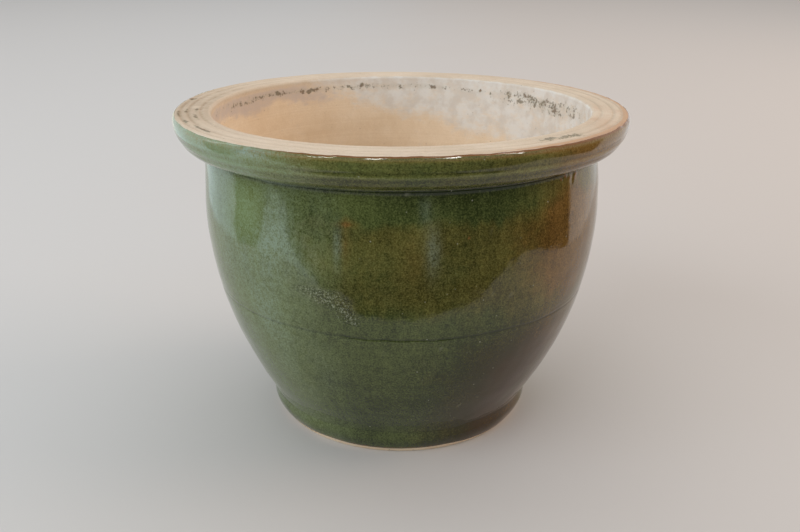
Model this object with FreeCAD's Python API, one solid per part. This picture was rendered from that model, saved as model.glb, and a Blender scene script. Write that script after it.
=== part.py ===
"""Round stoneware bonsai pot: five luted clay members and the glaze fired over the outside.

Millimetres, +Z up, origin at the centre of the foot's rest plane. Every member is a body of
revolution about Z, so outlines are drawn in the XZ plane, with X as the radius.
"""

import FreeCAD, Part

import math
import os

# Driving dimensions of the clay
HEIGHT = 215.0
RIM_RADIUS = 148.6
OPENING_RADIUS = 125.0
NECK_RADIUS = 129.8
FOOT_RADIUS = 91.0
DRAIN_RADIUS = 12.5
GLAZE = 0.6

# Foot and floor
REST_OUTER_RADIUS = 84.6
REST_INNER_RADIUS = 74.0
RECESS_RADIUS = 70.0
RECESS_HEIGHT = 8.0
FLOOR_TOP = 19.0
GLAZE_END = (87.2, 4.0)
BAND_LOW_HEIGHT = 12.5
BAND_TOP_HEIGHT = 18.5

# Neck and rim
NECK_HEIGHT = 189.0
BEAD_HEIGHT = 192.2
BEAD_RADIUS = NECK_RADIUS + 0.9
UNDERSIDE_HEIGHT = 193.3
CREASE_HEIGHT = 205.0
EDGE_ROUND = 2.0
GLAZE_TOP_ANGLE = 45.0
LIP_ROUND = 2.5
TURNING_GROOVES = (131.0, 138.8, 144.0)
GROOVE_HALF_WIDTH = 1.1
GROOVE_DEPTH = 0.45

# Radius and height of the wall's outside, from the notch over the foot up to the neck
OUTER_WALL = [(92.2, 21.8), (101.4, 37.7), (111.6, 58.5), (122.5, 88.0), (129.5, 120.0), (132.0, 150.0),
              (131.1, 172.0), (NECK_RADIUS, NECK_HEIGHT)]
# The same for the bare inside, from the floor up to the lip
INNER_WALL = [(74.0, FLOOR_TOP), (85.5, 31.5), (102.5, 64.0), (113.2, 90.0), (120.8, 121.0), (123.2, 152.0),
              (123.6, 190.0), (OPENING_RADIUS - 0.4, HEIGHT - LIP_ROUND)]

# Luted joints: height, and the radius of the ridge that locks the two members
FOOT_JOINT = (RECESS_HEIGHT, 81.0)
FLOOR_JOINT = (FLOOR_TOP, 86.0)
SEAM_JOINT = (99.6, 120.8)
NECK_JOINT = (190.4, 126.7)
RIDGE_HALF_WIDTH = 1.6
RIDGE_HEIGHT = 1.4
BEYOND = 200.0


def at(radius, height):
    """Point of an outline."""
    return FreeCAD.Vector(radius, 0.0, height)


def line(start, end):
    return Part.makeLine(at(*start), at(*end))


def arc(start, middle, end):
    return Part.Arc(at(*start), at(*middle), at(*end)).toShape()


def polyline(points):
    return [line(start, end) for start, end in zip(points, points[1:])]


def smooth(stations):
    """One smooth curve through the stations."""
    curve = Part.BSplineCurve()
    curve.interpolate([at(*station) for station in stations])
    return curve.toShape()


def revolve(outline):
    """Solid of revolution about Z from the edges of a closed outline."""
    return Part.Face(Part.Wire(outline)).revolve(FreeCAD.Vector(), FreeCAD.Vector(0, 0, 1), 360)


def pushed(point, coat, degrees=0.0):
    """A point moved out by the coat's thickness, at an angle above level."""
    angle = math.radians(degrees)
    return point[0] + coat * math.cos(angle), point[1] + coat * math.sin(angle)


def edge_point(degrees):
    """Point of the rim's rounded top edge, from 0 at its outside to 90 on the flat top."""
    centre = (RIM_RADIUS - 0.3 - EDGE_ROUND, HEIGHT - EDGE_ROUND)
    return pushed(centre, EDGE_ROUND, degrees)


def heel():
    """The bare clay corner between the rest face and the end of the glaze."""
    return [arc((REST_OUTER_RADIUS, 0.0), (REST_OUTER_RADIUS + 1.6, 2.0), GLAZE_END)]


def foot_band(coat=0.0):
    """The rounded, nearly upright band of the foot, and the notch under the wall."""
    start = pushed(GLAZE_END, coat)
    swell = pushed((FOOT_RADIUS - 1.5, 8.0), coat)
    low = pushed((FOOT_RADIUS - 0.1, BAND_LOW_HEIGHT), coat)
    top = pushed((FOOT_RADIUS, BAND_TOP_HEIGHT), coat)
    notch = pushed((FOOT_RADIUS + 0.3, 20.2), coat)
    return [arc(start, swell, low), line(low, top), arc(top, notch, pushed(OUTER_WALL[0], coat))]


def wall(coat=0.0):
    return [smooth([pushed(station, coat) for station in OUTER_WALL])]


def neck(coat=0.0):
    """The fine groove at the top of the wall, and the small bead under the rim."""
    start = pushed((NECK_RADIUS, NECK_HEIGHT), coat)
    groove = pushed((NECK_RADIUS - 0.4, NECK_HEIGHT + 1.2), coat)
    groove_top = pushed((NECK_RADIUS, BEAD_HEIGHT - 0.8), coat)
    bead = pushed((BEAD_RADIUS, BEAD_HEIGHT), coat)
    return [arc(start, groove, groove_top), arc(groove_top, bead, bead_top(coat))]


def bead_top(coat):
    return pushed((BEAD_RADIUS, UNDERSIDE_HEIGHT), coat, -45)


def rim_face(coat=0.0):
    """The rolled underside and the two-banded outer face with its crease, up to the end of the glaze."""
    underside = pushed((BEAD_RADIUS + 2.3, UNDERSIDE_HEIGHT + 0.2), coat, -90)
    roll_low = pushed((RIM_RADIUS - 11.6, UNDERSIDE_HEIGHT + 1.1), coat, -75)
    roll = pushed((RIM_RADIUS - 6.2, 196.8), coat, -50)
    roll_top = pushed((RIM_RADIUS - 3.6, 200.4), coat, -30)
    lower_band = pushed((RIM_RADIUS - 2.1, 202.7), coat, -20)
    crease = pushed((RIM_RADIUS - 1.3, CREASE_HEIGHT), coat, -10)
    upper_band = pushed((RIM_RADIUS, 210.0), coat)
    edge = [pushed(edge_point(degrees), coat, degrees) for degrees in (0, GLAZE_TOP_ANGLE / 2, GLAZE_TOP_ANGLE)]
    return [
        arc(bead_top(coat), underside, roll_low),
        arc(roll_low, roll, roll_top),
        arc(roll_top, lower_band, crease),
        arc(crease, upper_band, edge[0]),
        arc(*edge),
    ]


def rim_top():
    """The bare top edge, the flat turned top with its shallow concentric grooves, and the lip."""
    edges = [arc(edge_point(GLAZE_TOP_ANGLE), edge_point(68), edge_point(90))]
    start = edge_point(90)
    for radius in reversed(TURNING_GROOVES):
        outer = (radius + GROOVE_HALF_WIDTH, HEIGHT)
        inner = (radius - GROOVE_HALF_WIDTH, HEIGHT)
        edges += [line(start, outer), arc(outer, (radius, HEIGHT - GROOVE_DEPTH), inner)]
        start = inner
    lip = (OPENING_RADIUS + 1.8, HEIGHT)
    lip_middle = (OPENING_RADIUS + 0.2, HEIGHT - 0.8)
    return edges + [line(start, lip), arc(lip, lip_middle, INNER_WALL[-1])]


def inside():
    """The bare inner wall from the lip down, the floor, the drain hole and the recess in the foot."""
    corners = [INNER_WALL[0], (DRAIN_RADIUS, FLOOR_TOP), (DRAIN_RADIUS, RECESS_HEIGHT),
               (RECESS_RADIUS, RECESS_HEIGHT), (REST_INNER_RADIUS - 2.0, 2.0), (REST_INNER_RADIUS, 0.0),
               (REST_OUTER_RADIUS, 0.0)]
    return [smooth(INNER_WALL)] + polyline(corners)


def glazed_outside(coat=0.0):
    """The outside that carries glaze, from above the rest face to the top edge of the rim."""
    return foot_band(coat) + wall(coat) + neck(coat) + rim_face(coat)


def clay_body():
    """All the clay as fired, before it is told apart at the luted joints."""
    return revolve(heel() + glazed_outside() + rim_top() + inside())


def joint_line(height, ridge_radius):
    """A joint from the axis outwards, level but for the scored ridge."""
    return [(0.0, height), (ridge_radius - RIDGE_HALF_WIDTH, height), (ridge_radius, height + RIDGE_HEIGHT),
            (ridge_radius + RIDGE_HALF_WIDTH, height), (BEYOND, height)]


def member(clay, lower, upper):
    """The clay between two joint lines."""
    return clay.common(revolve(polyline(lower + upper[::-1] + lower[:1])))


def members():
    """The clay members by name, from the ground up."""
    names = ("foot_ring", "base_disc", "lower_wall", "upper_wall", "rim_flange")
    ground = [(0.0, -1.0), (BEYOND, -1.0)]
    sky = [(0.0, HEIGHT + 1.0), (BEYOND, HEIGHT + 1.0)]
    joints = [joint_line(*joint) for joint in (FOOT_JOINT, FLOOR_JOINT, SEAM_JOINT, NECK_JOINT)]
    clay = clay_body()
    return {name: member(clay, lower, upper)
            for name, lower, upper in zip(names, [ground] + joints, joints + [sky])}


def glaze_coat():
    """The fired glass, face to face with the clay under it."""
    top = edge_point(GLAZE_TOP_ANGLE)
    top_cap = line(top, pushed(top, GLAZE, GLAZE_TOP_ANGLE))
    bottom_cap = line(pushed(GLAZE_END, GLAZE), GLAZE_END)
    return revolve(glazed_outside() + [top_cap] + glazed_outside(GLAZE)[::-1] + [bottom_cap])


def main():
    os.makedirs("parts", exist_ok=True)
    shapes = members()
    shapes["glaze_coat"] = glaze_coat()
    for name, shape in shapes.items():
        shape.exportStep(f"parts/{name}.step")


main()
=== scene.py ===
"""Looks of the glazed stoneware bonsai pot: turned clay members, a melted green glaze and a plain studio.

Shapes are worked out in millimetres in the row frame and scaled to metres when a mesh is made.
Azimuths are degrees round +Z from the front (-Y) towards +X.
"""

import itertools
import math

import bpy
import numpy as np
from mathutils import Matrix, Vector


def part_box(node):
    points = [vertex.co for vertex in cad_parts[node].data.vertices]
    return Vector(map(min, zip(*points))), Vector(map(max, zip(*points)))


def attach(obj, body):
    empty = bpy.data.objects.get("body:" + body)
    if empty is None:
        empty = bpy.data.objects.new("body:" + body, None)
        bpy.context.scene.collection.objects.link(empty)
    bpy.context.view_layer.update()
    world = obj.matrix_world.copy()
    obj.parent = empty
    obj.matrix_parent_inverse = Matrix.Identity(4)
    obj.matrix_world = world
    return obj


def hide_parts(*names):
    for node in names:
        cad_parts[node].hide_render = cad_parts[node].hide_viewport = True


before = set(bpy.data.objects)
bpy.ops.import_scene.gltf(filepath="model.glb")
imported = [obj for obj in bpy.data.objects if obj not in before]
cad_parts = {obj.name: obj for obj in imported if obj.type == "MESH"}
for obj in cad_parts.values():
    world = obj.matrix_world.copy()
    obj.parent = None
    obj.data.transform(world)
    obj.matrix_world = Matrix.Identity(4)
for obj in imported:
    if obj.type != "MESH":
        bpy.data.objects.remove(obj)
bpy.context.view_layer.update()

MM = 0.001

# ---------------------------------------------------------------- sizes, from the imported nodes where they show

GLAZE_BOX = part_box("glaze_coat")
RIM_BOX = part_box("rim_flange")
BASE_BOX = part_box("base_disc")
LOWER_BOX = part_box("lower_wall")
UPPER_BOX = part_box("upper_wall")

HEIGHT = RIM_BOX[1].z / MM
RIM_RADIUS = RIM_BOX[1].x / MM
COAT = (GLAZE_BOX[1].x - RIM_BOX[1].x) / MM
GLAZE_START = GLAZE_BOX[0].z / MM
RECESS_HEIGHT = BASE_BOX[0].z / MM
FLOOR_TOP = LOWER_BOX[0].z / MM
SEAM_HEIGHT = UPPER_BOX[0].z / MM
NECK_JOINT_HEIGHT = RIM_BOX[0].z / MM
NECK_RADIUS = 129.8
OPENING_RADIUS = 125.0
FOOT_RADIUS = 91.0
DRAIN_RADIUS = 12.5
REST_OUTER_RADIUS = 84.6
REST_INNER_RADIUS = 74.0
RECESS_RADIUS = 70.0
REST_CHAMFER = 2.0
HEEL_RADIUS = 87.2
FLOOR_RADIUS = 74.0
EDGE_ROUND = 2.0
GLAZE_TOP_ANGLE = 46
TURNING_GROOVES = (131.0, 138.8, 144.0)
GROOVE_HALF_WIDTH = 1.1
GROOVE_DEPTH = 0.45

# Radius and height of the wall's outside, from the notch over the foot up to the neck
OUTER_WALL = [(92.2, 21.8), (101.4, 37.7), (111.6, 58.5), (122.5, 88.0), (129.5, 120.0), (132.0, 150.0),
              (131.1, 172.0), (NECK_RADIUS, 189.0)]
# The same for the bare inside, from the lip down to the floor
INNER_WALL = [(124.6, 212.5), (123.6, 190.0), (123.2, 152.0), (120.8, 121.0), (113.2, 90.0), (102.5, 64.0),
              (85.5, 31.5), (FLOOR_RADIUS, FLOOR_TOP)]
LIP_HEIGHT = 213.0

# Radii of the ridges that lock the luted joints
FOOT_RIDGE, FLOOR_RIDGE, SEAM_RIDGE, NECK_RIDGE = 81.0, 86.0, 120.8, 126.7
RIDGE_HALF_WIDTH = 1.6
RIDGE_HEIGHT = 1.4

# Heights of what the glaze runs over: it thins on a proud line and pools in a hollow one
NOTCH, NECK_GROOVE, BEAD = 20.6, 190.2, 192.6
LOWER_CREASE, PROUD_BAND, UPPER_CREASE = 200.2, 202.8, 205.2

# Where the rim's flange starts and is full, the top of the plain wall, and where the coat's rows turn close
FLANGE_STARTS, FLANGE_FULL = 193, 197
WALL_TOP = 185
CLOSE_FROM = 186

# How far the back of the coat is sunk into the clay, the step of the worked outlines, and the angle of a sharp edge
SUNK = 0.05
FINE = 0.1
SHARP_ANGLE = 50


# ---------------------------------------------------------------- outlines (radius, height)

def line(start, end):
    """Close points on a straight line, its end left for the next edge."""
    start, end = np.array(start, float), np.array(end, float)
    count = max(2, int(np.hypot(*(end - start)) / FINE))
    share = np.arange(count)[:, None] / count
    return start + (end - start) * share


def arc(start, middle, end):
    """Close points on the circle through three points, its end left for the next edge."""
    a, b, c = (complex(*p) for p in (start, middle, end))
    w = (c - a) / (b - a)
    if abs(w.imag) < 1e-6:
        return line(start, end)
    centre = (b - a) * (w - abs(w) ** 2) / (2j * w.imag) + a
    turn = np.angle((c - centre) / (a - centre))
    half = np.angle((b - centre) / (a - centre))
    if half * turn < 0 or abs(half) > abs(turn):
        turn -= math.copysign(2 * math.pi, turn)
    count = max(2, int(abs(turn) * abs(a - centre) / FINE))
    points = centre + (a - centre) * np.exp(1j * turn * np.arange(count) / count)
    return np.stack([points.real, points.imag], axis=1)


def smooth(stations):
    """Close points on the natural cubic spline through the stations, its end left for the next edge."""
    stations = np.array(stations, float)
    steps = np.hypot(*np.diff(stations, axis=0).T)
    knots = np.concatenate([[0], np.cumsum(steps)])
    n = len(stations)
    system = np.eye(n)
    right = np.zeros((n, 2))
    for i in range(1, n - 1):
        system[i, i - 1:i + 2] = steps[i - 1], 2 * (steps[i - 1] + steps[i]), steps[i]
        slopes = [(stations[k + 1] - stations[k]) / steps[k] for k in (i - 1, i)]
        right[i] = 6 * (slopes[1] - slopes[0])
    bend = np.linalg.solve(system, right)
    t = np.arange(0, knots[-1] - FINE / 2, FINE)
    k = np.clip(np.searchsorted(knots, t, side="right") - 1, 0, n - 2)
    h, u, v = steps[k][:, None], (t - knots[k])[:, None], (knots[k + 1] - t)[:, None]
    return (bend[k] * v ** 3 + bend[k + 1] * u ** 3) / (6 * h) + (
        (stations[k] / h - bend[k] * h / 6) * v + (stations[k + 1] / h - bend[k + 1] * h / 6) * u)


def edge_point(degrees):
    """Point of the rim's rounded top edge, from 0 at its outside to 90 on the flat top."""
    angle = math.radians(degrees)
    return (RIM_RADIUS - 0.3 - EDGE_ROUND + EDGE_ROUND * math.cos(angle),
            HEIGHT - EDGE_ROUND + EDGE_ROUND * math.sin(angle))


def glazed_outside():
    """The clay's outside under the glaze, from above the rest face to the rim's top edge."""
    neck, rim = NECK_RADIUS, RIM_RADIUS
    band_low, band_top = (FOOT_RADIUS - 0.1, 12.5), (FOOT_RADIUS, 18.5)
    groove_top, bead_top = (neck, 191.4), (neck + 0.9, 193.3)
    roll_low, roll_top, crease = (rim - 11.6, 194.4), (rim - 3.6, 200.4), (rim - 1.3, 205.0)
    return np.concatenate([
        arc((HEEL_RADIUS, GLAZE_START), (FOOT_RADIUS - 1.5, 8.0), band_low),
        line(band_low, band_top),
        arc(band_top, (FOOT_RADIUS + 0.3, 20.2), OUTER_WALL[0]),
        smooth(OUTER_WALL),
        arc(OUTER_WALL[-1], (neck - 0.4, NECK_GROOVE), groove_top),
        arc(groove_top, (neck + 0.9, 192.2), bead_top),
        arc(bead_top, (neck + 3.2, 193.5), roll_low),
        arc(roll_low, (rim - 6.2, 196.8), roll_top),
        arc(roll_top, (rim - 2.1, 202.7), crease),
        arc(crease, (rim, 210.0), edge_point(0)),
        arc(edge_point(0), edge_point(GLAZE_TOP_ANGLE / 2), edge_point(GLAZE_TOP_ANGLE)),
    ])


def turned_top():
    """The bare top: the rest of the rounded edge, the flat with its shallow grooves, and the lip."""
    edges = [arc(edge_point(GLAZE_TOP_ANGLE), edge_point(68), edge_point(90))]
    start = edge_point(90)
    for radius in reversed(TURNING_GROOVES):
        outer, inner = (radius + GROOVE_HALF_WIDTH, HEIGHT), (radius - GROOVE_HALF_WIDTH, HEIGHT)
        edges += [line(start, outer), arc(outer, (radius, HEIGHT - GROOVE_DEPTH), inner)]
        start = inner
    lip = (OPENING_RADIUS + 1.8, HEIGHT)
    edges += [line(start, lip), arc(lip, (OPENING_RADIUS + 0.2, HEIGHT - 0.8), INNER_WALL[0])]
    return np.concatenate(edges)


def joint(height, ridge, start, end):
    """A luted joint across the wall, with its locking ridge."""
    side = math.copysign(RIDGE_HALF_WIDTH, start - end)
    corners = [(start, height), (ridge + side, height), (ridge, height + RIDGE_HEIGHT), (ridge - side, height),
               (end, height)]
    return np.concatenate([line(a, b) for a, b in zip(corners, corners[1:])])


def between(path, low, high):
    """The stretch of a path between two levels, cut off exactly at them."""
    z = path[:, 1]
    first, last = np.flatnonzero((z > low) & (z < high))[[0, -1]]
    kept = [path[first:last + 1]]
    if first > 0:
        kept.insert(0, crossing(path[first], path[first - 1], low, high))
    if last + 1 < len(path):
        kept.append(crossing(path[last], path[last + 1], low, high))
    return np.concatenate(kept)


def crossing(within, beyond, low, high):
    """Where a step out of a band between two levels crosses its edge."""
    level = low if beyond[1] <= low else high
    return (within + (beyond - within) * (level - within[1]) / (beyond[1] - within[1]))[None]


def softened(path, reach):
    """A path with its arrises rounded, as melted glaze or a wet sponge leaves them."""
    count = int(3 * reach / FINE)
    kernel = np.exp(-0.5 * (np.arange(-count, count + 1) * FINE / reach) ** 2)
    kernel /= kernel.sum()
    padded = np.concatenate([2 * path[0] - path[count:0:-1], path, 2 * path[-1] - path[-2:-count - 2:-1]])
    return np.stack([np.convolve(padded[:, i], kernel, mode="valid") for i in (0, 1)], axis=1)


def stations(path, spacing):
    """Points along a path at the given spacing, a number or a function of (radius, height)."""
    steps = np.hypot(*np.diff(path, axis=0).T)
    gap = spacing(path[:-1]) if callable(spacing) else np.full(len(steps), float(spacing))
    travel = np.concatenate([[0], np.cumsum(steps / gap)])
    wanted = np.linspace(0, travel[-1], max(3, int(round(travel[-1])) + 1))
    return np.stack([np.interp(wanted, travel, path[:, i]) for i in (0, 1)], axis=1)


def normals_of(path):
    """Outward unit normals of an outline drawn up the outside and down the inside."""
    step = np.gradient(path, axis=0)
    step /= np.maximum(np.hypot(*step.T), 1e-9)[:, None]
    return np.stack([step[:, 1], -step[:, 0]], axis=1)


# ---------------------------------------------------------------- fields on the pot

def noise(points, cell, seed):
    """Smooth value noise from -1 to 1 on points in millimetres."""
    q = points / cell
    corner = np.floor(q).astype(np.int64)
    f = q - corner
    f = f * f * f * (f * (f * 6 - 15) + 10)
    total = np.zeros(len(points))
    for bits in itertools.product((0, 1), repeat=3):
        c = corner + bits
        h = (c[:, 0] * 73856093) ^ (c[:, 1] * 19349663) ^ (c[:, 2] * 83492791) ^ (seed * 2654435761)
        h = ((h ^ (h >> 13)) * 1274126177) & 0xFFFFFFFF
        value = ((h ^ (h >> 16)) & 0xFFFF) / 32767.5 - 1
        weight = np.prod(np.where(bits, f, 1 - f), axis=1)
        total += value * weight
    return total


def rise(value, low, high):
    """Smooth step from 0 at low to 1 at high."""
    t = np.clip((value - low) / (high - low), 0, 1)
    return t * t * (3 - 2 * t)


def bump_at(value, centre, width):
    """Smooth hump of height 1."""
    return np.exp(-((value - centre) / width) ** 2)


def azimuth(points):
    return np.degrees(np.arctan2(points[:, 0], -points[:, 1]))


def lobe(angle, centre, spread):
    """Smooth lobe round an azimuth."""
    return np.exp(-(((angle - centre + 180) % 360 - 180) / spread) ** 2)


def near(points, place, reach, radius=None):
    """1 at a place (azimuth, height) on the outside wall, or at a radius, falling to 0 about reach mm from it."""
    angle, height = math.radians(place[0]), place[1]
    if radius is None:
        radius = np.interp(height, [z for r, z in OUTER_WALL], [r for r, z in OUTER_WALL])
    spot = np.array([radius * math.sin(angle), -radius * math.cos(angle), height])
    return np.exp(-(np.linalg.norm(points - spot, axis=1) / reach) ** 2)


def patches(points, spots):
    """Smooth patches added up, each an (azimuth, height, spread in degrees, spread in mm, strength)."""
    angle, z = azimuth(points), points[:, 2]
    return sum(strength * lobe(angle, turn, wide) * bump_at(z, height, tall)
               for turn, height, wide, tall, strength in spots)


def settled(points):
    """The pot as it slumped a little in the kiln: the rim dips on one side and the wall leans under it."""
    x, y, z = points.T
    dip = -1.7 * rise(z, 140, 196) * lobe(azimuth(points), -55, 50) * np.hypot(x, y) / RIM_RADIUS
    lean = 0.8 * rise(z, 20, 60) * (1 - rise(z, 170, 194))
    return np.stack([x + lean, y, z + dip], axis=1)


def throwing(points):
    """Height of the thrown surface over the true turned one: slow swells and spiral finger rings."""
    z = points[:, 2] + azimuth(points) / 360 * 6.0
    level = np.stack([points[:, 0] * 0.12, points[:, 1] * 0.12, z], axis=1)
    rings = 0.085 * noise(level, 9.0, 3) + 0.05 * noise(level, 4.2, 4)
    swells = 0.26 * noise(points, 75, 1) + 0.12 * noise(points, 30, 2)
    return rings + swells


def thrown_lift(points):
    """The same surface, calmer on the rim, which was turned after throwing."""
    return throwing(points) * (1 - 0.45 * rise(points[:, 2], FLANGE_STARTS, FLANGE_FULL))


def seam_line(points):
    """The fine line where the two halves of the wall were luted together, broken in places."""
    wander = 0.6 * noise(points, 40, 11) + 0.3 * noise(points, 9, 12)
    depth = 0.65 + 0.35 * rise(noise(points, 22, 13) + 0.4 * noise(points, 6, 15), -0.7, 0.2)
    second = rise(noise(points, 35, 14), 0.0, 0.5)
    distance = points[:, 2] - SEAM_HEIGHT - wander
    return depth * (bump_at(distance, 0, 0.75) + 0.3 * second * bump_at(distance, 3.2, 0.9))


# ---------------------------------------------------------------- meshes

def revolve(name, sections, around, shape, marks, node, material):
    """A closed turned piece from a loop of (path, free) sections. Free ones move with the thrown surface.

    shape(points, normals, free) gives the moved points in mm, and marks(points) the painted layers.
    """
    path = np.concatenate([part for part, _ in sections])
    direction = np.concatenate([normals_of(part) for part, _ in sections])
    free_rows = np.concatenate([np.full(len(part), float(free)) for part, free in sections])
    rows = len(path)
    angle = np.arange(around)[:, None] * 2 * math.pi / around
    points, normals = (np.stack([np.sin(angle) * out, -np.cos(angle) * out, np.ones_like(angle) * up],
                                axis=2).reshape(-1, 3) for out, up in (path.T, direction.T))
    moved = settled(shape(points, normals, np.tile(free_rows, around)))
    i, j = np.meshgrid(np.arange(around), np.arange(rows), indexing="ij")
    ni, nj = (i + 1) % around, (j + 1) % rows
    quads = np.stack([i * rows + j, ni * rows + j, ni * rows + nj, i * rows + nj], axis=2).reshape(-1, 4)
    mesh = bpy.data.meshes.new(name)
    mesh.vertices.add(len(moved))
    mesh.vertices.foreach_set("co", (moved * MM).ravel())
    mesh.loops.add(quads.size)
    mesh.loops.foreach_set("vertex_index", quads.ravel().astype(np.int32))
    mesh.polygons.add(len(quads))
    mesh.polygons.foreach_set("loop_start", np.arange(0, quads.size, 4, dtype=np.int32))
    mesh.polygons.foreach_set("use_smooth", np.ones(len(quads), bool))
    mesh.update(calc_edges=True)
    mesh.validate()
    mesh.set_sharp_from_angle(angle=math.radians(SHARP_ANGLE))
    for key, values in marks(points).items():
        layer = mesh.attributes.new(key, "FLOAT", "POINT")
        layer.data.foreach_set("value", values.astype(np.float32))
    mesh.materials.append(material)
    piece = bpy.data.objects.new(name, mesh)
    bpy.context.scene.collection.objects.link(piece)
    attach(piece, "root")
    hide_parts(node)
    return piece


# ---------------------------------------------------------------- material graphs

class Graph:
    """Short names for the shader nodes of one material or world."""

    def __init__(self, owner):
        owner.use_nodes = True
        self.owner = owner
        self.tree = owner.node_tree
        self.tree.nodes.clear()
        self.coordinates = self.add("TexCoord").outputs
        self.where = self.coordinates["Object"]

    def add(self, kind, sockets=None, **settings):
        made = self.tree.nodes.new("ShaderNode" + kind)
        for key, value in settings.items():
            setattr(made, key, value)
        for key, value in (sockets or {}).items():
            if isinstance(value, bpy.types.NodeSocket):
                self.tree.links.new(value, made.inputs[key])
            else:
                made.inputs[key].default_value = value
        return made

    def layer(self, name):
        return self.add("Attribute", attribute_name=name).outputs["Fac"]

    def stretched(self, x, y, z):
        return self.add("Mapping", {"Vector": self.where, "Scale": (x, y, z)}).outputs[0]

    def noise(self, size, detail=2.0, rough=0.5, where=None, bend=0.0):
        """Noise whose features are about size mm across."""
        return self.add("TexNoise", {"Vector": where or self.where, "Scale": 1 / (size * MM), "Detail": detail,
                                     "Roughness": rough, "Distortion": bend}).outputs["Fac"]

    def cells(self, size):
        """Distance to the nearest of scattered points about size mm apart, in shares of that size."""
        return self.add("TexVoronoi", {"Vector": self.where, "Scale": 1 / (size * MM)}).outputs["Distance"]

    def axis(self, name, where=None):
        return self.add("SeparateXYZ", {0: where or self.where}).outputs[name]

    def fit(self, value, low, high, to_low=0.0, to_high=1.0):
        """Smooth step of a value from to_low at low to to_high at high."""
        return self.add("MapRange", {"Value": value, "From Min": low, "From Max": high, "To Min": to_low,
                                     "To Max": to_high}, interpolation_type="SMOOTHSTEP").outputs[0]

    def calc(self, operation, a, b):
        return self.add("Math", {0: a, 1: b}, operation=operation).outputs[0]

    def times(self, a, b):
        return self.calc("MULTIPLY", a, b)

    def total(self, *terms):
        """Sum of (value, weight) terms."""
        sum_so_far = 0.0
        for value, weight in terms:
            sum_so_far = self.add("Math", {0: value, 1: weight, 2: sum_so_far}, operation="MULTIPLY_ADD").outputs[0]
        return sum_so_far

    def mix(self, share, a, b):
        """Colour a, turned to b by the share."""
        return self.add("Mix", {0: share, 6: a, 7: b}, data_type="RGBA").outputs[2]

    def bump(self, height, depth, below=None):
        """Bump of the given depth in mm for a height from 0 to 1."""
        sockets = {"Height": height, "Distance": depth * MM, "Strength": 1.0}
        if below:
            sockets["Normal"] = below
        return self.add("Bump", sockets).outputs[0]

    def surface(self, sockets):
        shader = self.add("BsdfPrincipled", sockets)
        self.add("OutputMaterial", {"Surface": shader.outputs[0]})
        return self.owner


def material_graph(name):
    return Graph(bpy.data.materials.new(name))


def rgb(red, green, blue):
    return (red, green, blue, 1.0)


def glaze_material():
    """Green glass over buff clay: bottle green where it lies thick, ochre and brown where the clay burns through."""
    g = material_graph("green_glaze")

    # How thin the glass is, in clouds, runs, turning rings and grain, and where the painted layers say so; those
    # layers also paint light onto the left side and shade onto the right
    broad = g.noise(55, 3, 0.55)
    runs = g.noise(6.5, 4, 0.65, where=g.stretched(1, 1, 0.14))
    streaks = g.noise(2.0, 2, 0.6, where=g.stretched(1, 1, 0.16))
    rings = g.noise(3.0, 3, 0.6, where=g.stretched(0.04, 0.04, 1))
    mottle = g.noise(3.2, 4, 0.7)
    grain = g.noise(1.0, 2, 0.8)
    tone = g.total((broad, 0.5), (runs, 0.35), (streaks, 0.2), (rings, 0.17), (mottle, 0.45), (grain, 1.4),
                   (g.layer("thin_and_lit"), 0.4), (g.layer("pool_and_shade"), -0.4))
    shade = g.fit(tone, 1.05, 2.03)

    # Green turns to ochre and brown with warmth, partly painted warm light on the right, and to pale green where it
    # is thinnest
    green = g.mix(shade, rgb(0.018, 0.027, 0.007), rgb(0.130, 0.160, 0.048))
    ochre = g.mix(shade, rgb(0.030, 0.027, 0.005), rgb(0.180, 0.165, 0.045))
    brown = g.mix(shade, rgb(0.045, 0.024, 0.005), rgb(0.240, 0.135, 0.034))
    warm = g.total((g.layer("amber_and_warm_light"), 1.0), (g.noise(24, 3, 0.6), 0.5), (mottle, 0.3), (-0.4, 1.0))
    colour = g.mix(g.fit(warm, 0.05, 0.55), green, ochre)
    colour = g.mix(g.fit(warm, 0.50, 1.10), colour, brown)
    colour = g.mix(g.fit(tone, 1.69, 2.84), colour, rgb(0.24, 0.335, 0.185))

    # Painted sheen of reflected light on the left and in streaks, burnt edges, pale specks, and pale spots of painted
    # glints
    sheen_break = g.fit(g.total((mottle, 0.5), (grain, 0.5)), 0.34, 0.64, 0.1, 1.2)
    colour = g.mix(g.times(g.layer("painted_sheen"), sheen_break), colour, rgb(0.25, 0.34, 0.30))
    burnt = g.fit(g.total((g.layer("edge"), 1.0), (mottle, 0.5)), 0.6, 1.0)
    colour = g.mix(burnt, colour, rgb(0.20, 0.085, 0.025))
    specks = g.times(g.fit(g.cells(5.5), 0.11, 0.05), g.fit(g.noise(9, 1), 0.56, 0.64))
    pale = g.calc("MAXIMUM", specks, g.layer("painted_glint"))
    colour = g.mix(g.times(pale, 0.55), colour, rgb(0.42, 0.43, 0.32))

    # Rough patches of burst bubbles, with pale crust between dark pits
    pitted = g.fit(g.layer("pitted"), 0.2, 0.7)
    scurf = g.noise(1.25, 3, 0.75, bend=0.6)
    crust = g.times(g.fit(scurf, 0.53, 0.62), pitted)
    pits = g.times(g.fit(scurf, 0.47, 0.40), pitted)
    colour = g.mix(g.times(crust, 0.45), colour, rgb(0.42, 0.45, 0.34))
    colour = g.mix(g.times(pits, 0.35), colour, rgb(0.035, 0.040, 0.015))

    normal = g.bump(g.noise(5.0, 2, 0.5), 0.05)
    normal = g.bump(g.noise(1.6, 3, 0.6), 0.02, normal)
    normal = g.bump(g.calc("SUBTRACT", 1.0, pits), 0.3, normal)
    normal = g.bump(pale, 0.12, normal)
    rough = g.total((g.fit(g.noise(14, 3, 0.6), 0.35, 0.7, 0.075, 0.15), 1.0), (pitted, 0.12), (burnt, 0.04))
    return g.surface({"Base Color": colour, "Roughness": rough, "Normal": normal, "IOR": 1.52})


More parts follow.
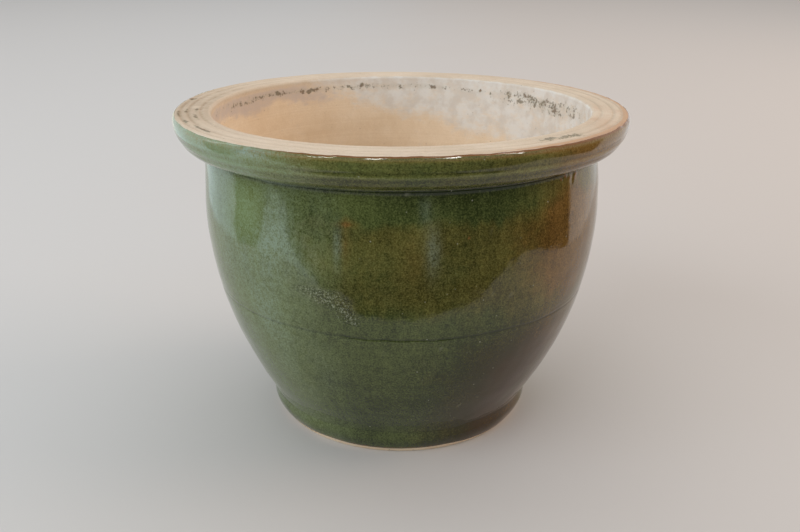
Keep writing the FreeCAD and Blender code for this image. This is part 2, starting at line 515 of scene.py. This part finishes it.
def clay_material(name):
    """Bare fired clay: sandy, pale where it was turned, stained by soil and limed by water."""
    g = material_graph(name)

    # Buff clay, greyer on the rim's top, with the fine lines that turning left at each radius and height
    radius = g.add("VectorMath", {0: g.stretched(1, 1, 0)}, operation="LENGTH").outputs["Value"]
    turned = g.add("CombineXYZ", {"X": radius, "Z": g.axis("Z")}).outputs[0]
    lines = g.noise(1.5, 3, 0.65, where=turned)
    bands = g.noise(5.5, 2, 0.5, where=turned)
    broad = g.noise(38, 4, 0.6)
    cloudy = g.noise(11, 4, 0.65)
    sand = g.noise(0.8, 2, 0.7)
    tone = g.total((broad, 0.5), (cloudy, 0.35), (lines, 0.24), (bands, 0.2), (sand, 0.4))
    shade = g.fit(tone, 0.58, 1.12)
    buff = g.mix(shade, rgb(0.74, 0.585, 0.41), rgb(0.89, 0.755, 0.59))
    cream = g.mix(shade, rgb(0.56, 0.455, 0.34), rgb(0.72, 0.62, 0.50))
    colour = g.mix(g.layer("top"), buff, cream)
    # Painted shade in the turning grooves of the rim's top, strongest at its left and right ends, and over the whole
    # left end of the top
    shadow = g.times(g.layer("groove_shade"), g.fit(cloudy, 0.3, 0.6, 0.12, 0.5))
    colour = g.mix(shadow, colour, rgb(0.35, 0.26, 0.175))

    # White lime scale, and the thin haze over it
    washes = g.noise(7, 4, 0.65, where=g.stretched(1, 1, 2.2))
    lime = g.fit(g.total((g.layer("lime"), 1.0), (cloudy, 0.8), (washes, 0.9)), 1.05, 1.95)
    scale = g.mix(g.fit(g.noise(10, 5, 0.6), 0.36, 0.62), rgb(0.69, 0.655, 0.605), rgb(0.78, 0.775, 0.75))
    colour = g.mix(lime, colour, scale)
    haze = g.fit(g.total((g.layer("haze"), 1.0), (cloudy, 0.9), (washes, 1.2)), 1.12, 2.15)
    colour = g.mix(g.times(haze, 0.8), colour, rgb(0.58, 0.495, 0.45))

    # A thin film of dirt, then crumbs of dried soil, rust and iron specks
    dirt = g.total((g.noise(1.8, 3, 0.7), 0.7), (g.noise(6.0, 2, 0.6), 0.6))
    film = g.fit(g.total((g.layer("soil"), 0.45), (cloudy, 0.5), (dirt, 0.4)), 0.62, 1.05)
    colour = g.mix(g.times(film, 0.35), colour, rgb(0.43, 0.40, 0.28))
    soil = g.fit(g.total((g.layer("soil"), 0.30), (dirt, 1.0)), 0.84, 0.97)
    earth = g.mix(g.fit(cloudy, 0.4, 0.6), rgb(0.20, 0.185, 0.13), rgb(0.16, 0.105, 0.06))
    colour = g.mix(g.times(soil, 0.78), colour, earth)
    rust = g.fit(g.total((g.layer("rust"), 1.0), (cloudy, 0.8)), 0.7, 1.3)
    colour = g.mix(g.times(rust, 0.62), colour, rgb(0.48, 0.25, 0.12))
    specks = g.times(g.fit(g.cells(4.5), 0.11, 0.06), g.fit(g.noise(7, 1), 0.55, 0.65))
    colour = g.mix(g.times(specks, 0.5), colour, rgb(0.24, 0.16, 0.10))

    normal = g.bump(lines, 0.12)
    normal = g.bump(sand, 0.08, normal)
    normal = g.bump(g.noise(3.0, 3, 0.6), 0.12, normal)
    normal = g.bump(soil, 0.2, normal)
    rough = g.total((g.fit(cloudy, 0.3, 0.7, 0.72, 0.88), 1.0), (lime, 0.06))
    return g.surface({"Base Color": colour, "Roughness": rough, "Normal": normal, "IOR": 1.45,
                      "Specular IOR Level": 0.35})


# ---------------------------------------------------------------- glaze

# Places on the outside, as (azimuth, height): burst bubbles with burnt rims, and pale spots painted where small
# glints show
BUBBLES = [(45.6, 187.6), (47.6, 188.6), (49.6, 187.2), (52.2, 185.8), (53.6, 183.4), (53.0, 188.4), (16.5, 163.5)]
PAINTED_GLINT_SPOTS = [(1.6, 189.0), (-34.6, 153.3), (11.0, 93.3), (6.6, 84.1), (29.6, 124.3), (23.7, 127.5), (32.0, 53.0),
          (27.4, 45.8), (21.3, 42.3), (21.4, 102.5), (-4.5, 89.6), (22.4, 164.6), (6.6, 183.5)]

# Patches of the painted layers, as (azimuth, height, spread in degrees, spread in mm, strength)
# The first thin spot is painted light: a bright patch on the left side, where the window light falls
THIN_AND_LIT_SPOTS = [(-45, 168, 6, 18, 1.1), (-17, 150, 9, 14, 0.4), (-14, 184, 7, 9, 0.4)]
POOLED_SPOTS = [(21, 208, 9, 5, 0.25)]
AMBER_SPOTS = [(-13.7, 162, 1.1, 15, 0.38), (-13.5, 172, 2.4, 1.7, 0.7), (3, 148, 5, 20, 0.25), (47, 168, 7, 20, 0.3)]
# Sheen spots are painted reflection: upright pale streaks, a pale patch on the left and a painted highlight under the
# rim's edge; sheen gaps take it away where the reflection is dark
SHEEN_SPOTS = [(-33, 150, 8, 22, 0.25), (-33, 212, 5, 3, 0.6), (5.7, 180, 1.4, 9, 0.16), (7.6, 157, 1.7, 13, 0.3),
               (-15.7, 158, 1.0, 12, 0.3)]
SHEEN_GAPS = [(-46, 170, 6, 17, 0.8)]
PITTED_SPOTS = [(-18, 124, 5.5, 6, 1.0), (-13, 113, 3.5, 5, 0.7), (-26, 128, 4, 3.5, 0.6)]

GLAZE_AROUND = 528


def glaze_spacing(path):
    """Close rows at the foot, the seam and the rim, and wide ones on the plain wall."""
    z = path[:, 1]
    wall = np.where(np.abs(z - SEAM_HEIGHT) < 5.5, 0.6, 2.8)
    return np.where(z < 24, 1.3, np.where(z < CLOSE_FROM, wall, 0.75))


def coat_outlines():
    """Outside and inside of the coat: it thins out at the rim's edge, and its arrises melt round."""
    clay = glazed_outside()
    normals = normals_of(clay)
    coat = COAT * (1 - 0.8 * rise(clay[:, 1], HEIGHT - 2.2, HEIGHT - 0.5))
    outer = softened(clay + normals * coat[:, None], 0.3)
    inner = clay - normals * SUNK
    coarse = stations(inner, lambda path: np.where(path[:, 1] < CLOSE_FROM, 14.0, 3.6))
    return stations(outer, glaze_spacing), coarse[::-1]


def ledge(points):
    """Turned lines on the rim's face: two sharp creases with a proud band between them."""
    z = points[:, 2]
    rim = rise(np.hypot(points[:, 0], points[:, 1]), 143, 146)
    return rim * (0.04 * bump_at(z, PROUD_BAND, 1.1) - 0.06 * bump_at(z, UPPER_CREASE, 0.7)
                  - 0.03 * bump_at(z, LOWER_CREASE, 0.7))


def pitting(points):
    """Where the glaze boiled and stayed rough."""
    return np.clip(patches(points, PITTED_SPOTS) * (1 + 0.6 * noise(points, 5, 27)), 0, 1)


def glaze_shape(points, normals, free):
    """The thrown surface, with the rolled top edge, the drips, the grit and the pits of the melt on it."""
    lift = thrown_lift(points) - 0.27 * seam_line(points) + ledge(points)
    roll = 0.12 * bump_at(points[:, 2], HEIGHT - 2.6, 1.2) * (1 + noise(points, 14, 21))
    drip = 0.3 * noise(points * [1, 1, 0.1], 16, 22) * (1 - rise(points[:, 2], 22, 30))
    grit = sum(0.7 * near(points, spot, 1.3) for spot in BUBBLES)
    pits = -0.2 * pitting(points) * rise(noise(points, 2.6, 26), 0.1, 0.6)
    own = roll + drip + grit + pits + 0.07 * noise(points, 6.5, 23)
    moved = points + normals * (lift + own * free)[:, None]
    ragged = 0.5 * noise(points, 8, 24) + 0.3 * noise(points, 2.6, 25)
    moved[:, 2] += 0.6 * ragged * rise(points[:, 2], HEIGHT - 2.4, HEIGHT - 1.2)
    return moved


def glaze_marks(points):
    """Painted layers of the glaze. The left side is painted paler, as painted window light and its painted
    reflection, and the right is painted warmer, partly as the glaze's own flashing and partly as painted warm light,
    with painted shade over it.
    """
    z = points[:, 2]
    angle = azimuth(points)
    side = np.sin(np.radians(angle))
    # The left side, which the layers below paint paler and bluer as painted window light and reflection
    left = rise(-side, 0.15, 0.75) * (1 - rise(np.abs(angle), 95, 140))
    # The right side's warm flush: partly the glaze's own flashing, partly painted warm light
    flash_and_warm_light = lobe(angle, 54, 24)
    flange = rise(z, FLANGE_STARTS, FLANGE_FULL)
    tongues = 6 * noise(points * [1, 1, 0.25], 15, 51) + 3 * noise(points * [1, 1, 0.3], 5, 52)
    thick = rise(z + tongues, 167, 182) * (1 - rise(z, 189, FLANGE_STARTS))
    middle = rise(z + tongues, 100, 130) * (1 - thick)

    # Thinness: real over the bead, the proud band and the top edge, and painted light over the left side and its
    # bright patch
    thin_and_lit = 0.5 * bump_at(z, BEAD, 0.9) + 0.7 * bump_at(z, PROUD_BAND, 1.0) + 0.5 * bump_at(z, HEIGHT - 2.8, 1.2)
    thin_and_lit += 0.25 * bump_at(z, 16, 6) + 0.75 * left + flange * (0.8 * left + 0.3 * flash_and_warm_light)
    thin_and_lit += 0.3 * flash_and_warm_light * rise(z, 105, 135) + 0.25 * bump_at(z, 207.5, 2.5) * (1 - rise(side, 0.1, 0.35))
    thin_and_lit += patches(points, THIN_AND_LIT_SPOTS)

    # Pooling: real in the neck groove, notch, seam and creases; painted shade over the right side, and darker towards
    # the bottom
    pool_and_shade = 0.12 - 0.12 * left + bump_at(z, NECK_GROOVE, 1.2) + bump_at(z, NOTCH, 2.2) + 0.7 * seam_line(points)
    pool_and_shade += 0.4 * bump_at(z, UPPER_CREASE, 0.8) + 0.35 * bump_at(z, LOWER_CREASE, 0.8)
    pool_and_shade += thick * (1 - left) * (0.02 + 0.24 * rise(side, -0.3, 0.2)) * (1 - 0.9 * flash_and_warm_light)
    # Painted shade over the right side, heaviest on its lower part
    pool_and_shade += 0.3 * lobe(angle, 30, 24) * (1 - rise(z, 165, 180)) + 0.95 * lobe(angle, 40, 26) * (1 - rise(z, 70, 120))
    # Darker towards the bottom
    pool_and_shade += 0.35 * left * (1 - rise(z, 50, 110)) + 0.15 * (1 - left) * (1 - rise(z, 50, 90))
    pool_and_shade += 0.3 * bump_at(z, 198, 4) * (1 - left) + patches(points, POOLED_SPOTS)

    # Warmth: the glaze's own ochre bands and patches, with the right side's warm flush, partly painted warm light
    amber_and_warm_light = 0.38 * middle * (1 - 0.7 * left) + 0.75 * flash_and_warm_light - 0.3 * thick * (1 - flash_and_warm_light) - 0.2 * left
    amber_and_warm_light += 0.22 * noise(points, 80, 54) * rise(np.abs(angle), 70, 120) - 0.12 * flange * (1 - flash_and_warm_light)
    amber_and_warm_light += 0.65 * lobe(angle, 40, 25) * (1 - rise(z, 60, 110))
    amber_and_warm_light += 0.5 * bump_at(z, HEIGHT - 2.6, 1.0) + left * (0.3 * flange + 0.4 * rise(z, 206, 211))
    amber_and_warm_light += patches(points, AMBER_SPOTS)

    edge = rise(z, HEIGHT - 1.7, HEIGHT - 0.9) * (0.35 + 0.65 * rise(side, -0.65, -0.1))
    edge += 0.55 * bump_at(z, GLAZE_START, 2.0) + 0.35 * rise(z, HEIGHT - 5, HEIGHT - 2) * flash_and_warm_light
    edge += 0.9 * np.clip(sum(near(points, spot, 1.7) for spot in BUBBLES), 0, 1)

    # Painted sheen: a pale bluish veil of painted reflection on the left side, with the painted streaks and highlight
    # of the sheen spots
    painted_sheen = 0.38 * left * (0.5 + 0.5 * rise(z, 30, 110)) * (0.6 + 0.4 * noise(points * [1, 1, 0.4], 14, 53))
    painted_sheen = (painted_sheen + patches(points, SHEEN_SPOTS)) * (1 - patches(points, SHEEN_GAPS))

    # Painted glints: pale spots where small highlights show
    painted_glint = np.clip(sum(near(points, spot, 0.9) for spot in PAINTED_GLINT_SPOTS), 0, 1)
    return {"thin_and_lit": thin_and_lit, "pool_and_shade": pool_and_shade, "amber_and_warm_light": amber_and_warm_light, "edge": edge, "painted_sheen": painted_sheen, "pitted": pitting(points),
            "painted_glint": painted_glint}


def build_glaze():
    outer, inner = coat_outlines()
    revolve("glaze", [(outer, True), (inner, False)], GLAZE_AROUND, glaze_shape, glaze_marks,
            "glaze_coat", glaze_material())


# ---------------------------------------------------------------- clay members

# Dried scabs of soil under the lip, as (azimuth, height, size), and the radius of the wall there
SCABS = [(-131.0, 208.0, 2.6), (-117.0, 209.5, 1.8), (-145.0, 205.6, 2.4), (-141.0, 208.0, 1.4),
         (-160.0, 207.5, 1.6), (-165.5, 208.5, 1.7), (150.0, 206.0, 2.0), (146.0, 205.0, 1.5)]
SCAB_RADIUS = 123.8

# Stains on the rim's flat top, as (azimuth, radius, spread in degrees, half-width, strength)
STAINS = [(-77.0, 145.0, 5.0, 1.5, 1.1), (-67.0, 143.2, 5.0, 1.4, 0.95), (-80.5, 140.2, 4.0, 1.5, 1.2),
          (-71.0, 135.2, 4.0, 1.7, 1.2), (-56.0, 140.8, 7.0, 1.5, 1.4), (-81.0, 133.8, 3.0, 1.7, 1.1),
          (37.5, 135.5, 4.2, 4.0, 1.1), (45.5, 138.6, 4.2, 3.4, 1.2)]

# The dark chip in the rim's top, and the rust round it, as (place, reach, radius)
CHIP = ((-97, HEIGHT), 2.5, 143.6)
CHIP_RUST = ((-98, HEIGHT), 3.0, 143.3)


def clay_shape(points, normals, free):
    """The thrown surface that the glaze follows, with fine turning and finger marks on the bare faces."""
    radius = np.hypot(points[:, 0], points[:, 1])
    z = points[:, 2]
    bare = rise(z, HEIGHT - 1.5, HEIGHT - 0.2)
    chatter = 0.05 * noise(points * [1, 1, 4], 5, 31) + 0.04 * noise(points, 2, 32)
    chips = -0.5 * rise(noise(points, 5, 34), 0.55, 0.9) * bump_at(radius, OPENING_RADIUS + 0.6, 1.2)
    inner = (1 - rise(radius, OPENING_RADIUS - 1, OPENING_RADIUS + 1)) * rise(z, FLOOR_TOP - 1, FLOOR_TOP + 1)
    level = np.stack([points[:, 0] * 0.1, points[:, 1] * 0.1, z - azimuth(points) / 360 * 7.0], axis=1)
    fingers = 0.16 * noise(level, 8.0, 33)
    standing = rise(z, 0.2, 2.0)
    lift = thrown_lift(points) + (chatter + chips) * bare + fingers * inner
    return points + normals * (lift * free * standing)[:, None]


def clay_marks(points):
    """Painted layers of the bare clay: what years of soil and hard water left inside and on the rim's top."""
    radius = np.hypot(points[:, 0], points[:, 1])
    z = points[:, 2]
    angle = azimuth(points)
    onward = angle % 360
    side = np.sin(np.radians(angle))
    inner = 1 - rise(radius, OPENING_RADIUS - 0.4, OPENING_RADIUS + 1.2)
    top = rise(z, HEIGHT - 1.2, HEIGHT - 0.1) * rise(radius, OPENING_RADIUS + 0.5, OPENING_RADIUS + 2)
    wander = 7 * noise(points, 28, 42) + 3 * noise(points, 9, 43)

    # Lime lies thick from the right round to the back, and tide marks ring the rest of the wall
    washed = rise(onward, 50, 78) * (1 - rise(onward - 0.8 * (z - 195), 184, 216))
    low_edge = 185 - 0.38 * (180 - onward)
    tide = rise(z + 0.7 * wander, 194, 205) * (1 - rise(z, 209.5, 212) * (1 - washed))
    haze = inner * (1 - washed) * tide * (0.7 + 0.3 * lobe(angle, -125, 40))
    lime = inner * np.maximum(0.95 * washed * rise(z + wander, low_edge - 12, low_edge + 12), 0.45 * tide)
    lime += inner * (0.35 * bump_at(z + wander, 58, 9) + 0.3 * bump_at(z + 0.5 * wander, 26, 6))

    torn = 1 + 0.7 * noise(points, 1.6, 44)
    scabs = torn * sum(0.75 * size * near(points, (turn, height), 0.6 * size, SCAB_RADIUS)
                       for turn, height, size in SCABS)
    soil_line = 0.30 + 0.55 * lobe(angle, -128, 34) + 0.35 * lobe(angle, 175, 22)
    soil = inner * bump_at(z + 0.2 * wander, 207.0, 2.6) * soil_line
    soil += inner * bump_at(z + 0.3 * wander, 202.5, 5.5) * 0.80 * lobe(angle, 120, 25)
    soil += inner * (scabs + 0.3 * (1 - rise(z, 20, 70))) + 3.0 * near(points, *CHIP)
    soil += top * sum(strength * lobe(angle, turn, spread) * bump_at(radius, middle, width)
                      for turn, middle, spread, width, strength in STAINS)

    rust = top * bump_at(radius, RIM_RADIUS - 1.5, 1.8) * (0.35 + 0.75 * rise(side, 0.1, 0.9))
    rust += top * (0.15 * noise(points, 30, 41) + 0.2 * rise(side, 0, 1) + 0.3 * lobe(angle, 68, 35))
    rust += 0.3 * near(points, *CHIP_RUST) + inner * 0.4 * scabs

    # Painted shade: the turning grooves darker, most at the left and right ends, and the left end of the top darker
    # as a whole
    grooves = sum(bump_at(radius, middle, 0.9) for middle in TURNING_GROOVES)
    groove_shade = top * (grooves * (0.4 + 0.6 * rise(np.abs(side), 0.4, 0.9)) + 1.1 * lobe(angle, -88, 32))
    return {"soil": soil, "lime": lime, "haze": haze, "rust": rust, "groove_shade": groove_shade,
            "top": rise(z, HEIGHT - 9, HEIGHT - 1)}


def radius_at(path, height):
    """Radius where a wall's path crosses a height."""
    order = np.argsort(path[:, 1])
    return float(np.interp(height, path[order, 1], path[order, 0]))


def chain(*paths):
    """One path from several that follow on, without its doubled points."""
    path = np.concatenate(paths)
    keep = np.concatenate([[True], np.hypot(*np.diff(path, axis=0).T) > 0.05])
    return path[keep]


def seat(height, ridge, start, end):
    """The face of a luted joint, which stays true and leaves its corners to the surfaces it meets."""
    return stations(joint(height, ridge, start, end), 1.3)[1:-1], False


def member_sections():
    """The loop of sections of each clay member."""
    outside, inside = glazed_outside(), np.vstack([smooth(INNER_WALL), INNER_WALL[-1]])
    wall = outside[outside[:, 1] < WALL_TOP]
    out_foot, out_floor, out_seam = (radius_at(wall, z) for z in (RECESS_HEIGHT, FLOOR_TOP, SEAM_HEIGHT))
    in_seam, in_neck = (radius_at(inside, z) for z in (SEAM_HEIGHT, NECK_JOINT_HEIGHT))
    out_neck = radius_at(outside[outside[:, 0] < NECK_RADIUS + 0.01], NECK_JOINT_HEIGHT)
    rim = chain(stations(between(outside, NECK_JOINT_HEIGHT, HEIGHT), 2.2),
                stations(softened(turned_top(), 0.22), 0.62),
                stations(between(inside, NECK_JOINT_HEIGHT, LIP_HEIGHT), 0.8))
    heel = chain(arc((REST_OUTER_RADIUS, 0.0), (REST_OUTER_RADIUS + 1.6, 2.0), (HEEL_RADIUS, GLAZE_START)),
                 between(outside, GLAZE_START, RECESS_HEIGHT))
    chamfer = (REST_INNER_RADIUS - REST_CHAMFER, REST_CHAMFER)
    recess = chain(line((RECESS_RADIUS, RECESS_HEIGHT), chamfer),
                   line(chamfer, (REST_INNER_RADIUS, 0.0)),
                   line((REST_INNER_RADIUS, 0.0), (REST_OUTER_RADIUS, 0.0)))
    floor = chain(line((FLOOR_RADIUS, FLOOR_TOP), (DRAIN_RADIUS, FLOOR_TOP)),
                  line((DRAIN_RADIUS, FLOOR_TOP), (DRAIN_RADIUS, RECESS_HEIGHT)),
                  line((DRAIN_RADIUS, RECESS_HEIGHT), (RECESS_RADIUS, RECESS_HEIGHT)))
    return {
        "rim_clay": [(rim, True), seat(NECK_JOINT_HEIGHT, NECK_RIDGE, in_neck, out_neck)],
        "upper_wall_clay": [
            (stations(between(outside, SEAM_HEIGHT, NECK_JOINT_HEIGHT), 5.0), True),
            seat(NECK_JOINT_HEIGHT, NECK_RIDGE, out_neck, in_neck),
            (stations(between(inside, SEAM_HEIGHT, NECK_JOINT_HEIGHT), 1.4), True),
            seat(SEAM_HEIGHT, SEAM_RIDGE, in_seam, out_seam)],
        "lower_wall_clay": [
            (stations(between(wall, FLOOR_TOP, SEAM_HEIGHT), 4.0), True),
            seat(SEAM_HEIGHT, SEAM_RIDGE, out_seam, in_seam),
            (stations(between(inside, FLOOR_TOP, SEAM_HEIGHT), 1.5), True),
            seat(FLOOR_TOP, FLOOR_RIDGE, FLOOR_RADIUS, out_floor)],
        "base_clay": [
            (stations(between(wall, RECESS_HEIGHT, FLOOR_TOP), 1.5), True),
            seat(FLOOR_TOP, FLOOR_RIDGE, out_floor, FLOOR_RADIUS),
            (stations(softened(floor, 0.4), 1.5), True),
            seat(RECESS_HEIGHT, FOOT_RIDGE, RECESS_RADIUS, out_foot)],
        "foot_clay": [
            (stations(heel, 0.9), True),
            seat(RECESS_HEIGHT, FOOT_RIDGE, out_foot, RECESS_RADIUS),
            (stations(softened(recess, 0.3), 0.9), True)],
    }


def build_members():
    """The five clay members, of one clay but for the rim, which has a finish of its own."""
    clays = {slot: clay_material(slot) for slot in ("rim_stoneware", "buff_stoneware")}
    sections = member_sections()
    for name, around, node, slot in (
            ("rim_clay", 720, "rim_flange", "rim_stoneware"),
            ("upper_wall_clay", 600, "upper_wall", "buff_stoneware"),
            ("lower_wall_clay", 540, "lower_wall", "buff_stoneware"),
            ("base_clay", 420, "base_disc", "buff_stoneware"),
            ("foot_clay", 480, "foot_ring", "buff_stoneware")):
        revolve(name, sections[name], around, clay_shape, clay_marks, node, clays[slot])


# ---------------------------------------------------------------- studio (metres)

# The near floor, which shows in the gloss, and how far the floor goes on all round it
NEAR_X, NEAR_FRONT, NEAR_BACK, FAR = 0.5, -0.25, 1.2, 80.0
CARD_BACK, CARD_TOP = 2.0, 1.2

# Outline of the card that stands far off on the left, as seen through a window
WINDOW_CARD = [(-1.2, 0.1, 0.35), (-1.0, 1.0, 0.35), (-1.0, 1.0, 1.15), (-1.2, 0.1, 1.15)]

# Outline of the card on the left that lies just clear of the floor, in front of the pot
CARD_LIFT = 0.0002
FRONT_CARD = [(-0.20, NEAR_FRONT), (-0.50, -0.34), (-0.98, -0.483), (-0.96, -0.25), (-0.78, -0.19), (-0.50, -0.10),
              (-0.50, NEAR_FRONT)]

# Slanted strips over the pot that glint on its rim, as (azimuth, half-width), and (distance, height) of their ends
GLINTS = [(-44, 0.022), (-16, 0.036), (26, 0.045), (63, 0.036)]
GLINT_LOW, GLINT_HIGH = (1.25, 1.1), (0.95, 1.5)

# Lights, as (name, place, target, size, power, colour, shows in the gloss)
LIGHTS = [("overhead", (0, 2.2, 4.0), (0, 2.0, 0), (6.0, 5.0), 72, (1.0, 0.975, 0.955), True),
          ("window_left", (-2.0, -1.65, 1.5), (0, 0, 0.1), (3.0, 2.0), 42, (0.90, 0.96, 1.0), False),
          ("lamp_right", (3.0, 0.3, 1.4), (0, 0, 0.1), (2.0, 1.6), 34, (1.0, 0.74, 0.56), False)]

# Levels on the world's unit sphere from the ground, just under the horizon, to the lightest part of the room
SKY_FROM, SKY_TO = -0.045, 0.255

CAMERA_PLACE = (0, -0.6036, 0.3226)
CAMERA_PITCH, CAMERA_LEAN = math.radians(20.30), math.radians(-0.394)
SENSOR_WIDTH, LENS = 36.0, 40.65


def panel(name, corners, material):
    """A flat stage piece."""
    mesh = bpy.data.meshes.new(name)
    mesh.from_pydata(corners, [], [tuple(range(len(corners)))])
    mesh.materials.append(material)
    made = bpy.data.objects.new(name, mesh)
    bpy.context.scene.collection.objects.link(made)
    return made


def card(name, corners, material):
    """A panel that is seen only in the gloss."""
    made = panel(name, corners, material)
    made.visible_camera = False
    made.visible_diffuse = False
    made.visible_shadow = False
    made.visible_transmission = False


def glow(name, colour, strength, far_colour=None):
    """Light of a card. With a far colour, it turns to that one with the distance behind the pot."""
    g = material_graph(name)
    if far_colour:
        colour = g.mix(g.fit(g.axis("Y"), 0.35, 0.95), colour, far_colour)
    shader = g.add("Emission", {"Color": colour, "Strength": strength})
    g.add("OutputMaterial", {"Surface": shader.outputs[0]})
    return g.owner


def floor_material():
    """A matt pale floor, with painted warm light making it a little warmer towards the right."""
    g = material_graph("studio_floor")
    # Painted warm light: the floor's colour turns warmer towards the right
    across = g.total((g.axis("X"), 1.0), (g.noise(260, 2, 0.5), 0.2))
    colour = g.mix(g.fit(across, -0.5, 0.7), rgb(0.630, 0.642, 0.652), rgb(0.617, 0.588, 0.568))
    normal = g.bump(g.noise(6, 2, 0.5), 0.05)
    return g.surface({"Base Color": colour, "Roughness": 0.9, "Normal": normal, "Specular IOR Level": 0.0})


def build_floor():
    """The near floor and four pieces round it, which the gloss doesn't show."""
    material = floor_material()
    near = (-NEAR_X, NEAR_X, NEAR_FRONT, NEAR_BACK)
    around = [(-FAR, FAR, -FAR, NEAR_FRONT), (-FAR, FAR, NEAR_BACK, FAR),
              (-FAR, -NEAR_X, NEAR_FRONT, NEAR_BACK), (NEAR_X, FAR, NEAR_FRONT, NEAR_BACK)]
    for index, (left, right, front, back) in enumerate([near] + around):
        name = f"floor_far_{index - 1}" if index else "floor_near"
        piece = panel(name, [(left, front, 0), (right, front, 0), (right, back, 0), (left, back, 0)], material)
        piece.visible_glossy = index == 0


def build_cards():
    """The bright sides, window and lamps that the gloss shows."""
    left = glow("left_card", rgb(0.80, 0.94, 0.97), 1.12, rgb(0.97, 0.93, 0.82))
    right = glow("right_card", rgb(0.99, 0.93, 0.88), 0.88, rgb(1.03, 1.06, 1.10))
    window = glow("window_card", rgb(0.88, 0.95, 1.0), 2.6)
    white = glow("glint_card", rgb(1.0, 0.98, 0.95), 26.0)
    for name, x, front, material in (("card_left", -NEAR_X, 0.03, left), ("card_right", NEAR_X, 0.06, right)):
        card(name, [(x, front, 0), (x, CARD_BACK, 0), (x, CARD_BACK, CARD_TOP), (x, front, CARD_TOP)], material)
    card("card_front_left", [(x, y, CARD_LIFT) for x, y in FRONT_CARD], left)
    card("card_window", WINDOW_CARD, window)
    for index, (turn, half) in enumerate(GLINTS):
        along = Vector((math.sin(math.radians(turn)), -math.cos(math.radians(turn)), 0))
        across = Vector((-along.y, along.x, 0)) * half
        low, high = (along * distance + Vector((0, 0, height)) for distance, height in (GLINT_LOW, GLINT_HIGH))
        card(f"glint_{index}", [low - across, low + across, high + across, high - across], white)


def build_lights():
    for name, place, target, size, power, colour, glossy in LIGHTS:
        data = bpy.data.lights.new(name, "AREA")
        data.shape = "RECTANGLE"
        data.size, data.size_y = size
        data.energy = power
        data.color = colour
        light = bpy.data.objects.new(name, data)
        light.location = place
        light.rotation_euler = (Vector(target) - Vector(place)).to_track_quat("-Z", "Y").to_euler()
        light.visible_glossy = glossy
        bpy.context.scene.collection.objects.link(light)


def build_world():
    """Dim ground and a pale room that gets lighter overhead."""
    world = bpy.data.worlds.new("studio")
    bpy.context.scene.world = world
    g = Graph(world)
    height = g.add("MapRange", {"Value": g.axis("Z", g.coordinates["Generated"]), "From Min": SKY_FROM,
                                "From Max": SKY_TO}).outputs[0]
    ramp = g.add("ValToRGB", {0: height})
    ground, horizon = ramp.color_ramp.elements
    ground.position, ground.color = 0.0, rgb(0.04, 0.035, 0.025)
    horizon.position, horizon.color = 0.1, rgb(0.42, 0.41, 0.40)
    ramp.color_ramp.elements.new(1.0).color = rgb(0.64, 0.62, 0.60)
    background = g.add("Background", {"Color": ramp.outputs[0], "Strength": 0.8})
    g.add("OutputWorld", {"Surface": background.outputs[0]})


def build_camera():
    """Looks down at the pot from the front, with a slight lean to one side."""
    data = bpy.data.cameras.new("camera")
    data.sensor_width = SENSOR_WIDTH
    data.lens = LENS
    data.clip_start, data.clip_end = 0.01, 50
    camera = bpy.data.objects.new("camera", data)
    bpy.context.scene.collection.objects.link(camera)
    forward = Vector((0, math.cos(CAMERA_PITCH), -math.sin(CAMERA_PITCH)))
    right = Vector((1, 0, 0))
    up = right.cross(forward)
    side = right * math.cos(CAMERA_LEAN) - up * math.sin(CAMERA_LEAN)
    top = right * math.sin(CAMERA_LEAN) + up * math.cos(CAMERA_LEAN)
    turned = Matrix((side, top, -forward)).transposed().to_4x4()
    turned.translation = CAMERA_PLACE
    camera.matrix_world = turned
    bpy.context.scene.camera = camera


build_camera()
build_floor()
build_cards()
build_lights()
build_world()
build_glaze()
build_members()
bpy.context.scene.view_settings.view_transform = "Standard"

bpy.context.view_layer.update()
